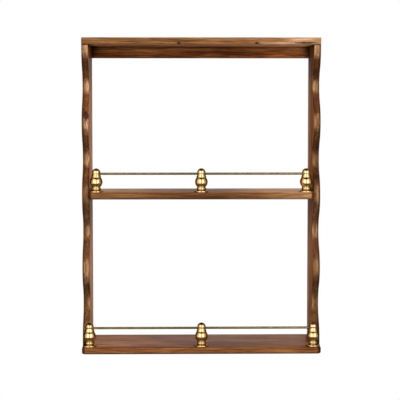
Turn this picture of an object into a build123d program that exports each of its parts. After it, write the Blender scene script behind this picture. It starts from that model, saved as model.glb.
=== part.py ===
from build123d import *
import math
import os

os.makedirs("parts", exist_ok=True)

# A two-tier wall shelf. Its back lies in the plane y = 0, against the wall, and its front faces -Y.
# The origin is midway between the entry holes of the two hanger plates. All sizes are in millimetres.

# Boards
shelf_width = 330.0
shelf_height = 435.5
board_thickness = 9.5
side_thickness = 9.5
top_depth = 80.0
middle_depth = 90.0
bottom_depth = 100.0
rail_height = 16.0
rail_thickness = 9.5
middle_corner_radius = 5.0
bottom_corner_radius = 6.0
top_edge_ease = 0.6
middle_edge_ease = 0.9
bottom_edge_ease = 2.2
side_edge_ease = 0.6

# Wavy front edge of the side panels
crest_to_foot = 1.2
wave_depth = 20.0
wave_count = 4
wave_end_run = 6.25
crest_share = 0.55

# Turned gallery posts, from the foot up
flange_radius = 9.5
flange_rim = 1.9
flare_height = 1.3
groove_radius = 5.8
bead_radius = 6.6
bead_thickness = 3.2
neck_radius = 5.9
neck_length = 1.8
waist_radius = 6.5
belly_radius = 8.75
belly_length = 12.0
collar_radius = 6.9
collar_lip = 0.9
collar_length = 4.4
collar_hollow = 0.15
crease_radius = 5.5
ball_radius = 5.75
post_inset = 10.3
post_setback = 10.3

# Gallery rods
rod_radius = 1.6
rod_drop = 1.7
rod_fit = 0.05
rod_grip = 2.5
rod_end_play = 0.5
rod_end_ease = 0.3

# Countersunk screws
screw_cone_angle = 82.0
screw_tip_length = 1.0
post_screw_radius = 1.75
post_screw_head_radius = 3.5
post_screw_grip = 9.0
post_screw_slot = 0.9
hanger_screw_radius = 1.2
hanger_screw_head_radius = 2.2
hanger_screw_length = 6.5
hanger_screw_slot = 0.6

# Pins that hold the boards together
pin_radius = 0.9
pin_head_radius = 1.4
pin_head_depth = 1.2
pin_length = 30.0
pin_tip_length = 1.5
pin_back_distance = 18.0
pin_front_distance = 58.0

# Keyhole hanger plates, let into the back of the rail
hanger_inset = 35.5
hanger_width = 40.0
hanger_thickness = 1.2
hanger_edge_margin = 0.5
hanger_corner_radius = 2.0
hanger_screw_spacing = 30.0
entry_radius = 4.0
entry_lip = 1.2
slot_half_width = 2.0
head_pocket_depth = 4.5
head_pocket_room = 0.2

# Clearance round fasteners and let-in plates, and room past the tip of a fastener
fit = 0.05
tip_room = 0.6

# Heights, worked out from the hanger plates' entry holes
hanger_height = rail_height - 2 * hanger_edge_margin
hanger_bottom = -(entry_radius + entry_lip)
hanger_middle = hanger_bottom + hanger_height / 2
head_pocket_radius = entry_radius + head_pocket_room
slot_travel = hanger_bottom + hanger_height - head_pocket_radius - head_pocket_room
rail_bottom = hanger_bottom - hanger_edge_margin
side_top = rail_bottom + rail_height
top_surface = side_top + board_thickness
bottom_underside = top_surface - shelf_height
bottom_top = bottom_underside + board_thickness
side_height = side_top - bottom_top
middle_underside = bottom_underside + (shelf_height - board_thickness) / 2
middle_top = middle_underside + board_thickness

# Distances across the shelf
half_width = shelf_width / 2
inner_half_width = half_width - side_thickness
side_centre = half_width - side_thickness / 2
middle_post_x = inner_half_width - post_inset
bottom_post_x = half_width - post_inset
hanger_x = inner_half_width - hanger_inset - hanger_width / 2

# Where each kind of fastener enters, and where the posts stand
ends = (-1, 1)
pin_rows = (-pin_back_distance, -pin_front_distance)
middle_pin_level = middle_underside + board_thickness / 2
rail_pin_level = rail_bottom + rail_height / 2
top_pin_spots = [(end * side_centre, y, top_surface) for end in ends for y in pin_rows]
bottom_pin_spots = [(end * side_centre, y, bottom_underside) for end in ends for y in pin_rows]
crest_depth = bottom_depth - post_setback - flange_radius - crest_to_foot
middle_post_spots = [(place * middle_post_x, post_setback - middle_depth) for place in (-1, 0, 1)]
bottom_post_spots = [(place * bottom_post_x, post_setback - bottom_depth) for place in (-1, 0, 1)]


def facing(direction, spots):
    """Planes at the given spots whose normals point out of the surface there."""
    return [Plane(origin=spot, z_dir=direction) for spot in spots]


top_pin_planes = facing((0, 0, 1), top_pin_spots)
bottom_pin_planes = facing((0, 0, -1), bottom_pin_spots)
middle_pin_planes = {
    end: facing((end, 0, 0), [(end * half_width, y, middle_pin_level) for y in pin_rows]) for end in ends
}
rail_pin_planes = {
    end: facing((end, 0, 0), [(end * half_width, -rail_thickness / 2, rail_pin_level)]) for end in ends
}
middle_screw_planes = facing((0, 0, -1), [(x, y, middle_underside) for x, y in middle_post_spots])
bottom_screw_planes = facing((0, 0, -1), [(x, y, bottom_underside) for x, y in bottom_post_spots])
hanger_screw_planes = {
    end: facing(
        (0, 1, 0),
        [(end * hanger_x + half * hanger_screw_spacing / 2, 0, hanger_middle) for half in ends],
    )
    for end in ends
}


def keep(part, name):
    """Label a finished piece and write its file."""
    part.label = name
    export_step(part, f"parts/{name}.step")


def cut_pin_holes(planes):
    """Stepped holes for headed pins."""
    with Locations(*planes):
        CounterBoreHole(
            radius=pin_radius + fit,
            counter_bore_radius=pin_head_radius + fit,
            counter_bore_depth=pin_head_depth + fit,
            depth=pin_length + tip_room,
        )


def cut_screw_holes(planes, radius, head_radius, depth=None):
    """Countersunk holes, right through where no depth is given."""
    with Locations(*planes):
        CounterSinkHole(
            radius=radius + fit,
            counter_sink_radius=head_radius + fit,
            depth=depth,
            counter_sink_angle=screw_cone_angle,
        )


def front_face(board):
    """The face of a board that looks straight at the room."""
    return board.faces().filter_by(Axis.Y).sort_by(Axis.Y)[0]


def round_front_corners(board, radius):
    """Round the two upright edges at the front of a board."""
    fillet(front_face(board).edges().filter_by(Axis.Z), radius=radius)


def ease_front(board, ease):
    """Ease the long edges at the front of a board, with the edges that run on from them."""
    fillet(front_face(board).edges().filter_by(Axis.X), radius=min(ease, 0.4 * board_thickness))


# Top board, lying across both side panels
with BuildPart() as top_board:
    with BuildSketch(Plane.XY.offset(side_top)):
        with Locations((0, -top_depth / 2)):
            Rectangle(shelf_width, top_depth)
    extrude(amount=board_thickness)
    fillet(top_board.edges(), radius=min(top_edge_ease, 0.4 * board_thickness))
    cut_pin_holes(top_pin_planes)
keep(top_board.part, "top_board")

# Middle shelf, held between the side panels
with BuildPart() as middle_shelf:
    with BuildSketch(Plane.XY.offset(middle_underside)):
        with Locations((0, -middle_depth / 2)):
            Rectangle(2 * inner_half_width, middle_depth)
    extrude(amount=board_thickness)
    round_front_corners(middle_shelf, middle_corner_radius)
    ease_front(middle_shelf, middle_edge_ease)
    cut_screw_holes(middle_screw_planes, post_screw_radius, post_screw_head_radius)
    for end in ends:
        cut_pin_holes(middle_pin_planes[end])
keep(middle_shelf.part, "middle_shelf")

# Bottom board, under both side panels
with BuildPart() as bottom_board:
    with BuildSketch(Plane.XY.offset(bottom_underside)):
        with Locations((0, -bottom_depth / 2)):
            Rectangle(shelf_width, bottom_depth)
    extrude(amount=board_thickness)
    round_front_corners(bottom_board, bottom_corner_radius)
    ease_front(bottom_board, bottom_edge_ease)
    cut_screw_holes(bottom_screw_planes, post_screw_radius, post_screw_head_radius)
    cut_pin_holes(bottom_pin_planes)
keep(bottom_board.part, "bottom_board")

# Back rail, with a recess for each hanger plate and a pocket behind it for the head of a wall screw
with BuildPart() as back_rail:
    with BuildSketch(Plane.XY.offset(rail_bottom)):
        with Locations((0, -rail_thickness / 2)):
            Rectangle(2 * inner_half_width, rail_thickness)
    extrude(amount=rail_height)
    for end in ends:
        with BuildSketch(Plane.XZ):
            with Locations((end * hanger_x, hanger_middle)):
                RectangleRounded(hanger_width + 2 * fit, hanger_height + 2 * fit, hanger_corner_radius + fit)
        extrude(amount=hanger_thickness + fit, mode=Mode.SUBTRACT)
        with BuildSketch(Plane.XZ):
            with Locations((end * hanger_x, slot_travel / 2)):
                SlotCenterToCenter(slot_travel, 2 * head_pocket_radius, rotation=90)
        extrude(amount=hanger_thickness + head_pocket_depth, mode=Mode.SUBTRACT)
        cut_screw_holes(
            hanger_screw_planes[end],
            hanger_screw_radius,
            hanger_screw_head_radius,
            depth=hanger_screw_length + tip_room,
        )
        cut_pin_holes(rail_pin_planes[end])
keep(back_rail.part, "back_rail")

# Side panels: each wave of the front edge is half a crest, a waist and half a crest, all tangent arcs
half_wave = (side_height - 2 * wave_end_run) / wave_count / 2
wave_swing = 2 * math.atan(wave_depth / half_wave)
wave_radii = half_wave / math.sin(wave_swing)
wave_arcs = (
    (crest_share * wave_radii, -math.degrees(wave_swing)),
    ((1 - crest_share) * wave_radii, 2 * math.degrees(wave_swing)),
    (crest_share * wave_radii, -math.degrees(wave_swing)),
)


def side_panel(outer_end):
    """One upright panel, with its holes; outer_end is -1 on the left and 1 on the right."""
    low_x = outer_end * side_centre - side_thickness / 2
    with BuildPart() as panel:
        with BuildSketch(Plane.YZ.offset(low_x)):
            with BuildLine():
                run = Polyline(
                    (0, bottom_top),
                    (-crest_depth, bottom_top),
                    (-crest_depth, bottom_top + wave_end_run),
                )
                for radius, turn in wave_arcs * wave_count:
                    run = JernArc(run @ 1, run % 1, radius, turn)
                Polyline(run @ 1, (-crest_depth, side_top), (0, side_top), (0, bottom_top))
            make_face()
        extrude(amount=side_thickness)
        front = panel.edges().filter_by(Axis.X, reverse=True)
        front = front.filter_by(lambda edge: edge.bounding_box().max.Y < -crest_depth / 2)
        fillet(front, radius=min(side_edge_ease, 0.4 * side_thickness))
        cut_pin_holes(top_pin_planes + bottom_pin_planes)
        cut_pin_holes(middle_pin_planes[outer_end] + rail_pin_planes[outer_end])
    return panel.part


keep(side_panel(-1), "left_side_panel")
keep(side_panel(1), "right_side_panel")

# Heights along a post, from its foot to its tip
bead_start = flange_rim + flare_height
neck_start = bead_start + bead_thickness
belly_start = neck_start + neck_length
collar_start = belly_start + belly_length
collar_rim = collar_start + collar_lip
crease_height = collar_rim + collar_length
ball_centre = crease_height + math.sqrt(ball_radius**2 - crease_radius**2)
rod_height = ball_centre - rod_drop


def gallery_post(x, y, foot, bore_from, bore_to):
    """One turned post standing at x and y, bored across for the rod between the two given places."""
    with BuildPart() as post:
        with BuildSketch(Plane(origin=(x, y, foot), x_dir=(1, 0, 0), z_dir=(0, -1, 0))):
            with BuildLine():
                flange = Polyline((0, 0), (flange_radius, 0), (flange_radius, flange_rim))
                flare = TangentArc(flange @ 1, (groove_radius, bead_start), tangent=(-1, 0))
                bead = ThreePointArc(
                    flare @ 1,
                    (bead_radius, bead_start + bead_thickness / 2),
                    (groove_radius, neck_start),
                )
                neck = ThreePointArc(
                    bead @ 1,
                    (neck_radius, neck_start + neck_length / 2),
                    (waist_radius, belly_start),
                )
                belly = ThreePointArc(
                    neck @ 1,
                    (belly_radius, belly_start + belly_length / 2),
                    (waist_radius, collar_start),
                )
                lip = Line(belly @ 1, (collar_radius, collar_rim))
                collar = ThreePointArc(
                    lip @ 1,
                    ((collar_radius + crease_radius) / 2 - collar_hollow, collar_rim + collar_length / 2),
                    (crease_radius, crease_height),
                )
                ball = ThreePointArc(collar @ 1, (ball_radius, ball_centre), (0, ball_centre + ball_radius))
                Line(ball @ 1, flange @ 0)
            make_face()
        revolve(axis=Axis((x, y, foot), (0, 0, 1)))
        with BuildSketch(Plane.YZ.offset(bore_from)):
            with Locations((y, foot + rod_height)):
                Circle(rod_radius + rod_fit)
        extrude(amount=bore_to - bore_from, mode=Mode.SUBTRACT)
        with Locations(Plane(origin=(x, y, foot), z_dir=(0, 0, -1))):
            Hole(radius=post_screw_radius + fit, depth=post_screw_grip + tip_room)
    return post.part


def gallery_rod(y, level, half_length):
    """One round rod along the shelf."""
    with BuildPart() as rod:
        with BuildSketch(Plane.YZ.offset(-half_length)):
            with Locations((y, level)):
                Circle(rod_radius)
        extrude(amount=2 * half_length)
        chamfer(rod.edges().filter_by(GeomType.CIRCLE), length=rod_end_ease)
    return rod.part


# Both galleries: three posts and a rod that is trapped between the blind bores of the end posts
galleries = (
    ("middle", middle_post_spots, middle_top, middle_post_x),
    ("bottom", bottom_post_spots, bottom_top, bottom_post_x),
)
for tier, spots, foot, end_post_x in galleries:
    rod_half_length = end_post_x + rod_grip
    bore_reach = rod_half_length + rod_end_play
    bores = {
        "left": (-bore_reach, flange_radius - end_post_x),
        "centre": (-flange_radius, flange_radius),
        "right": (end_post_x - flange_radius, bore_reach),
    }
    for (x, y), (place, (bore_from, bore_to)) in zip(spots, bores.items()):
        keep(gallery_post(x, y, foot, bore_from, bore_to), f"{tier}_{place}_post")
    keep(gallery_rod(spots[0][1], foot + rod_height, rod_half_length), f"{tier}_gallery_rod")


def turned_fasteners(planes, outline, slot_width=0.0):
    """Separate round fasteners, one in each plane, from an outline of (radius, height) points."""
    with BuildPart() as group:
        for plane in planes:
            section = Plane(
                origin=plane.origin,
                x_dir=plane.x_dir,
                z_dir=plane.x_dir.cross(plane.z_dir),
            )
            with BuildSketch(section):
                with BuildLine():
                    Polyline(*outline, close=True)
                make_face()
            revolve(axis=Axis(plane.origin, plane.z_dir))
        if slot_width > 0:
            with Locations(*planes):
                Box(4 * outline[1][0], slot_width, 2 * slot_width, mode=Mode.SUBTRACT)
    return group.part


def screw_outline(radius, head_radius, length):
    """Half the outline of a countersunk screw, with its head at height 0."""
    cone = (head_radius - radius) / math.tan(math.radians(screw_cone_angle / 2))
    return [
        (0, 0),
        (head_radius, 0),
        (radius, -cone),
        (radius, screw_tip_length - length),
        (radius / 2, -length),
        (0, -length),
    ]


pin_outline = [
    (0, 0),
    (pin_head_radius, 0),
    (pin_head_radius, -pin_head_depth),
    (pin_radius, -pin_head_depth),
    (pin_radius, pin_tip_length - pin_length),
    (pin_radius / 3, -pin_length),
    (0, -pin_length),
]
keep(turned_fasteners(top_pin_planes, pin_outline), "top_board_pins")
keep(turned_fasteners(bottom_pin_planes, pin_outline), "bottom_board_pins")
keep(turned_fasteners(middle_pin_planes[-1] + middle_pin_planes[1], pin_outline), "middle_shelf_pins")
keep(turned_fasteners(rail_pin_planes[-1] + rail_pin_planes[1], pin_outline), "back_rail_pins")

post_screw = screw_outline(post_screw_radius, post_screw_head_radius, board_thickness + post_screw_grip)
keep(turned_fasteners(middle_screw_planes, post_screw, post_screw_slot), "middle_post_screws")
keep(turned_fasteners(bottom_screw_planes, post_screw, post_screw_slot), "bottom_post_screws")

hanger_screw = screw_outline(hanger_screw_radius, hanger_screw_head_radius, hanger_screw_length)
keep(
    turned_fasteners(hanger_screw_planes[-1] + hanger_screw_planes[1], hanger_screw, hanger_screw_slot),
    "hanger_screws",
)


def hanger_plate(end):
    """One keyhole plate, flush with the back of the rail, with its slot running up from the entry hole."""
    with BuildPart() as plate:
        with BuildSketch(Plane.XZ):
            with Locations((end * hanger_x, hanger_middle)):
                RectangleRounded(hanger_width, hanger_height, hanger_corner_radius)
            with Locations((end * hanger_x, 0)):
                Circle(entry_radius, mode=Mode.SUBTRACT)
            with Locations((end * hanger_x, slot_travel / 2)):
                SlotCenterToCenter(slot_travel, 2 * slot_half_width, rotation=90, mode=Mode.SUBTRACT)
        extrude(amount=hanger_thickness)
        cut_screw_holes(hanger_screw_planes[end], hanger_screw_radius, hanger_screw_head_radius)
    return plate.part


keep(hanger_plate(-1), "left_hanger_plate")
keep(hanger_plate(1), "right_hanger_plate")
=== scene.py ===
# %% [markdown]
# # A two-tier wall shelf with brass gallery rails
# The shelf is six stained boards, two brass gallery rails and a handful of steel fasteners. The frame
# gives every piece its true size and place in metres. This lesson models five of the boards, the posts and
# the rods again with Blender's own tools, so that their edges are soft and their turnings smooth. The back
# rail, the hanger plates and the fasteners stay as they are. Then every piece gets its finish.

# %% Load the frame
import math

import bpy
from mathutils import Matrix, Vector


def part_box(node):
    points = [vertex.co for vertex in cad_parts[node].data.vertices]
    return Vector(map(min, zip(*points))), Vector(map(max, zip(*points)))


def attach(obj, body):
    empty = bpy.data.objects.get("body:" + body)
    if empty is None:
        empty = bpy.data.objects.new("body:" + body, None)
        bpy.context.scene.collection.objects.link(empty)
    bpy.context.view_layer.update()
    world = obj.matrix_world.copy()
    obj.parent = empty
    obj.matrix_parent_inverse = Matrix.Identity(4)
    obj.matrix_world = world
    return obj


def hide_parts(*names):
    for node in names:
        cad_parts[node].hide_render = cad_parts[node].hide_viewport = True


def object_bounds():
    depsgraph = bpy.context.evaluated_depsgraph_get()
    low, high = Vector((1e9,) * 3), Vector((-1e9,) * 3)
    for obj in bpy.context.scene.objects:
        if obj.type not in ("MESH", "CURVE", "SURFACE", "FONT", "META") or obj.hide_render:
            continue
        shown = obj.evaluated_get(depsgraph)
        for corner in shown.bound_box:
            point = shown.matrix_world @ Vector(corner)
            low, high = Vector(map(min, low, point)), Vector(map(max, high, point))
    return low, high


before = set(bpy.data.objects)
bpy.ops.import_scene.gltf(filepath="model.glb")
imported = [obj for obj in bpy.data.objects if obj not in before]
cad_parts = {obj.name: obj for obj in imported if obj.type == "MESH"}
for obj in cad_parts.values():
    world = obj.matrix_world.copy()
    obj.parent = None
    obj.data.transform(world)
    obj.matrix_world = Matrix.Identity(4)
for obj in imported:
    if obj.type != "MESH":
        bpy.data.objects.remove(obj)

MM = 0.001
cad_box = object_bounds()
scene = bpy.context.scene
scene.view_settings.view_transform = "Standard"

# %% [markdown]
# ## Selecting and placing by hand
# An operator acts on everything that is selected, and loading the frame leaves its nodes selected. So each
# piece starts by clearing the selection. Faces and edges are then picked by where they are, as a person
# would click them.

# %% Helpers for selecting and placing
SAME_PLACE = 0.01 * MM
DOUBLES = 0.004 * MM
CRISP_ANGLE = 32


def start_clean():
    """Leave edit mode and deselect everything."""
    if bpy.context.object and bpy.context.object.mode != "OBJECT":
        bpy.ops.object.mode_set(mode="OBJECT")
    bpy.ops.object.select_all(action="DESELECT")


def make_active(piece):
    """Select one piece alone."""
    start_clean()
    piece.select_set(True)
    bpy.context.view_layer.objects.active = piece


def settle(piece):
    """Put the piece's place into its mesh, so that its object sits at the origin."""
    make_active(piece)
    bpy.ops.object.transform_apply(location=True, rotation=True, scale=True)


def corners(name):
    """The low and the high corner of a node's box."""
    low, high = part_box(name)
    return Vector(low), Vector(high)


def near(value, target):
    """True where two lengths agree to a hundredth of a millimetre."""
    return abs(value - target) < SAME_PLACE


def pick_edges(piece, wanted):
    """In edit mode, select the edges whose two ends satisfy a test."""
    bpy.ops.mesh.select_all(action="DESELECT")
    bpy.ops.object.mode_set(mode="OBJECT")
    spots = piece.data.vertices
    for edge in piece.data.edges:
        edge.select = wanted(spots[edge.vertices[0]].co, spots[edge.vertices[1]].co)
    bpy.ops.object.mode_set(mode="EDIT")
    bpy.ops.mesh.select_mode(type="EDGE")


print("top board from", *corners("top_board"))

# %% [markdown]
# ## Drawing, cutting and tidying
# An outline is drawn by extruding one vertex from point to point. A Boolean modifier takes a seat or a bore
# out of a piece, as a drill would. And a finished mesh has its doubles merged and its faces turned outwards,
# with smooth shading that stops at the arrises.

# %% Helpers for drawing, cutting and tidying


def draw_chain(name, points):
    """Extrude one vertex from point to point, and leave the whole chain selected in edit mode."""
    start_clean()
    bpy.ops.mesh.primitive_plane_add(size=1 * MM, location=points[0])
    piece = bpy.context.object
    piece.name = name
    settle(piece)
    bpy.ops.object.mode_set(mode="EDIT")
    bpy.ops.mesh.select_mode(type="VERT")
    bpy.ops.mesh.select_all(action="SELECT")
    bpy.ops.mesh.merge(type="CENTER")
    for here, there in zip(points, points[1:]):
        step = [after - before for before, after in zip(here, there)]
        bpy.ops.mesh.extrude_region_move(TRANSFORM_OT_translate={"value": step})
    bpy.ops.mesh.select_all(action="SELECT")
    return piece


def carve(piece, cutter):
    """Take a cutter's shape out of a piece, and throw the cutter away."""
    cut = piece.modifiers.new("cut", "BOOLEAN")
    cut.operation = "DIFFERENCE"
    cut.solver = "EXACT"
    cut.object = cutter
    make_active(piece)
    bpy.ops.object.modifier_apply(modifier=cut.name)
    bpy.data.objects.remove(cutter)


def tidy_mesh(piece):
    """Merge doubles, turn every face outwards and give the piece smooth shading with crisp arrises."""
    make_active(piece)
    bpy.ops.object.mode_set(mode="EDIT")
    bpy.ops.mesh.select_all(action="SELECT")
    bpy.ops.mesh.remove_doubles(threshold=DOUBLES)
    bpy.ops.mesh.normals_make_consistent(inside=False)
    bpy.ops.object.mode_set(mode="OBJECT")
    bpy.ops.object.shade_smooth_by_angle(angle=math.radians(CRISP_ANGLE))


print("shading stays crisp over", CRISP_ANGLE, "degrees")

# %% [markdown]
# ## Flat boards
# Each board began as sawn stock: a block with its long edges eased and, on the two lower shelves, its front
# corners rounded. A cube at the board's size gives the block. Two bevels in edit mode do the rest, first the
# upright corners with a wide radius, then the arrises with a small one, in the order a maker would sand them.
# The two lower shelves keep a square back, where they meet the wall.

# %% Model a flat board
CORNER_SEGMENTS = 10
EASE_SEGMENTS = 4
TOP_EASE = 0.6 * MM
MIDDLE_CORNER = 5.0 * MM
MIDDLE_EASE = 0.9 * MM
BOTTOM_CORNER = 6.0 * MM
BOTTOM_EASE = 2.2 * MM


def plank(name, corner_radius, ease):
    """A board in the box of the node it replaces, with rounded front corners and eased edges."""
    low, high = corners(name)
    start_clean()
    bpy.ops.mesh.primitive_cube_add(size=1, location=(low + high) / 2)
    piece = bpy.context.object
    piece.name = f"{name}_finished"
    piece.scale = high - low
    settle(piece)
    bpy.ops.object.mode_set(mode="EDIT")
    if corner_radius:
        pick_edges(piece, lambda a, b: near(a.y, low.y) and near(b.y, low.y) and near(a.x, b.x))
        bpy.ops.mesh.bevel(offset=corner_radius, segments=CORNER_SEGMENTS, affect="EDGES")
        pick_edges(piece, lambda a, b: near(a.z, b.z) and not (near(a.y, high.y) and near(b.y, high.y)))
    else:
        pick_edges(piece, lambda a, b: True)
    bpy.ops.mesh.bevel(offset=ease, segments=EASE_SEGMENTS, affect="EDGES")
    tidy_mesh(piece)
    return piece


boards = {
    "top_board": plank("top_board", 0, TOP_EASE),
    "middle_shelf": plank("middle_shelf", MIDDLE_CORNER, MIDDLE_EASE),
    "bottom_board": plank("bottom_board", BOTTOM_CORNER, BOTTOM_EASE),
}
for name, piece in boards.items():
    print(name, len(piece.data.polygons), "faces")

# %% [markdown]
# ## The wave of the side panels
# The front edge of each side is a run of waves cut with a bandsaw and sanded round. Drawing it as a chain
# of tangent arcs keeps it smooth: half a crest, a waist and half a crest make one wave.

# %% Draw the wave
WAVE_COUNT = 4
WAVE_DEPTH = 20 * MM
WAVE_END_RUN = 6.25 * MM
CREST_SHARE = 0.55
ARC_STEPS = 7
side_low, side_high = corners("left_side_panel")
half_wave = (side_high.z - side_low.z - 2 * WAVE_END_RUN) / WAVE_COUNT / 2
swing = 2 * math.atan(WAVE_DEPTH / half_wave)
radii = half_wave / math.sin(swing)


def front_edge():
    """Points (y, z) up the wavy front edge, from the panel's foot to its top."""
    y, z, heading = side_low.y, side_low.z + WAVE_END_RUN, 0.0
    points = [(side_low.y, side_low.z), (y, z)]
    wave = ((CREST_SHARE, 1, 1), (1 - CREST_SHARE, -1, 2), (CREST_SHARE, 1, 1))
    for share, way, swings in wave * WAVE_COUNT:
        steps = ARC_STEPS * swings
        for _ in range(steps):
            turn = way * swing * swings / steps
            chord = 2 * share * radii * math.sin(abs(turn) / 2)
            y += chord * math.sin(heading + turn / 2)
            z += chord * math.cos(heading + turn / 2)
            heading += turn
            points.append((y, z))
    points.append((side_low.y, side_high.z))
    return points


print("wave swing", round(math.degrees(swing), 1), "degrees, radii sum", round(radii / MM, 1), "mm")

# %% [markdown]
# ## Scalloped side panels
# A side is one board that carries the shelves. One vertex is extruded along the wave and round the square
# back, the loop is filled, and the face is extruded to the panel's thickness, as a bandsaw cuts straight
# through. Only the wavy edge was sanded, so only its arrises are bevelled.

# %% Extrude the side panels
SIDE_EASE = 0.9 * MM
SIDE_SEGMENTS = 3
BEHIND_WAVE = 1 * MM


def side_panel(name):
    """One upright panel in the place of its node."""
    low, high = corners(name)
    outline = front_edge() + [(high.y, high.z), (high.y, low.z)]
    piece = draw_chain(f"{name}_finished", [(low.x, y, z) for y, z in outline])
    bpy.ops.mesh.edge_face_add()
    bpy.ops.mesh.extrude_region_move(TRANSFORM_OT_translate={"value": (high.x - low.x, 0, 0)})
    front_limit = low.y + WAVE_DEPTH + BEHIND_WAVE
    pick_edges(piece, lambda a, b: near(a.x, b.x) and a.y < front_limit and b.y < front_limit)
    bpy.ops.mesh.bevel(offset=SIDE_EASE, segments=SIDE_SEGMENTS, affect="EDGES")
    tidy_mesh(piece)
    return piece


for name in ("left_side_panel", "right_side_panel"):
    boards[name] = side_panel(name)
    print(name, len(boards[name].data.polygons), "faces")

# %% [markdown]
# ## Seats for the pin and screw heads
# Steel pins and screws hold the boards, and their heads lie flush with the wood. A head needs a real seat
# round it, or two faces would share one plane and flicker. A cone with equal ends makes a pin's straight seat
# and a tapered one makes a screw's countersink, each a little larger than the head.

# %% The shapes of the heads
HEAD_ROOM = 0.06 * MM
SEAT_SIDES = 32
SEAT_OVERSHOOT = 0.5 * MM
PIN_HEAD_RADIUS = 1.4 * MM
PIN_HEAD_DEPTH = 1.2 * MM
SCREW_HEAD_RADIUS = 3.5 * MM
SCREW_SHANK_RADIUS = 1.75 * MM
SCREW_HALF_ANGLE = 41
SCREW_CONE_DEPTH = (SCREW_HEAD_RADIUS - SCREW_SHANK_RADIUS) / math.tan(math.radians(SCREW_HALF_ANGLE))
PIN_HEAD = (PIN_HEAD_RADIUS, PIN_HEAD_RADIUS, PIN_HEAD_DEPTH)
SCREW_HEAD = (SCREW_HEAD_RADIUS, SCREW_SHANK_RADIUS, SCREW_CONE_DEPTH)


def cut_seat(piece, head, inward, shape):
    """Take the seat of a head out of a piece, from a point on its surface inwards."""
    head, inward = Vector(head), Vector(inward)
    radius, end_radius, depth = shape
    slope = (radius - end_radius) / depth
    start_clean()
    bpy.ops.mesh.primitive_cone_add(
        vertices=SEAT_SIDES,
        radius1=radius + slope * SEAT_OVERSHOOT + HEAD_ROOM,
        radius2=end_radius + HEAD_ROOM,
        depth=depth + SEAT_OVERSHOOT,
        location=head + inward * (depth - SEAT_OVERSHOOT) / 2,
        rotation=inward.to_track_quat("Z", "Y").to_euler(),
    )
    carve(piece, bpy.context.object)


print("screw seats are", round(SCREW_CONE_DEPTH / MM, 2), "mm deep")

# %% [markdown]
# ## Where the seats lie
# The pins go in two rows: down into the sides through the top board, up into them through the bottom board,
# and through the sides into the middle shelf. One more pin at each end holds the back rail. A screw comes up
# into every post from under its board. Apart from the rows, the boxes of the pieces say where.

# %% Cut the seats
PIN_ROWS = (-18 * MM, -58 * MM)
POST_SPOTS = ("left", "centre", "right")
TIER_BOARDS = {"middle": "middle_shelf", "bottom": "bottom_board"}
top_low, top_high = corners("top_board")
middle_low, middle_high = corners("middle_shelf")
bottom_low = corners("bottom_board")[0]
rail_low, rail_high = corners("back_rail")
side_thickness = side_high.x - side_low.x
side_middle = top_high.x - side_thickness / 2
shelf_level = (middle_low.z + middle_high.z) / 2
for end, side_name in ((-1, "left_side_panel"), (1, "right_side_panel")):
    over_side = end * side_middle
    outside = end * top_high.x
    for row in PIN_ROWS:
        cut_seat(boards["top_board"], (over_side, row, top_high.z), (0, 0, -1), PIN_HEAD)
        cut_seat(boards["bottom_board"], (over_side, row, bottom_low.z), (0, 0, 1), PIN_HEAD)
        cut_seat(boards[side_name], (outside, row, shelf_level), (-end, 0, 0), PIN_HEAD)
    rail_pin = (outside, (rail_low.y + rail_high.y) / 2, (rail_low.z + rail_high.z) / 2)
    cut_seat(boards[side_name], rail_pin, (-end, 0, 0), PIN_HEAD)
for tier, board_name in TIER_BOARDS.items():
    under_board = corners(board_name)[0].z
    for spot in POST_SPOTS:
        post_low, post_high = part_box(f"{tier}_{spot}_post")
        head = ((post_low[0] + post_high[0]) / 2, (post_low[1] + post_high[1]) / 2, under_board)
        cut_seat(boards[board_name], head, (0, 0, 1), SCREW_HEAD)
for name, piece in boards.items():
    tidy_mesh(piece)
    print(name, len(piece.data.polygons), "faces with its seats")

# %% [markdown]
# ## The sizes of a post
# Each post was turned on a lathe from bar: a flared foot, a bead, a round belly, a flared collar and a ball.
# Its radii and heights are named here in millimetres, from the foot up, with the steps of each curve.

# %% The sizes of a post
PROFILE_STEPS = 9
RIM_STEPS = 4
NECK_STEPS = 6
BELLY_STEPS = 22
CUP_STEPS = 8
BALL_STEPS = 24
FLANGE_RADIUS = 9.5
FLANGE_RIM = 1.9
RIM_ROUND = 0.6
FLARE_RADIUS = 7.3
FLARE_HEIGHT = 2.3
GROOVE_RADIUS = 5.8
BEAD_START = 3.2
BEAD_RADIUS = 6.6
NECK_START = 6.4
NECK_RADIUS = 5.75
BELLY_START = 8.2
WAIST_RADIUS = 6.5
BELLY_RADIUS = 8.75
COLLAR_START = 20.2
LIP_RADIUS = 6.85
LIP_HEIGHT = 20.6
COLLAR_RIM = 21.1
COLLAR_RADIUS = 6.9
CUP_RADIUS = 6.05
CREASE_HEIGHT = 25.5
CREASE_RADIUS = 5.5
CREASE_DEPTH = 0.25
BALL_LIFT = 0.1
BALL_RADIUS = 5.75
print("a post is", 2 * FLANGE_RADIUS, "mm across its foot and", 2 * BELLY_RADIUS, "mm across its belly")

# %% [markdown]
# ## Arcs for the outline
# A turner's curves are close to arcs. One through three points is easy to place: two of them are its ends,
# and the third says how far it swells out or hollows in.

# %% An arc through three points


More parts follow.
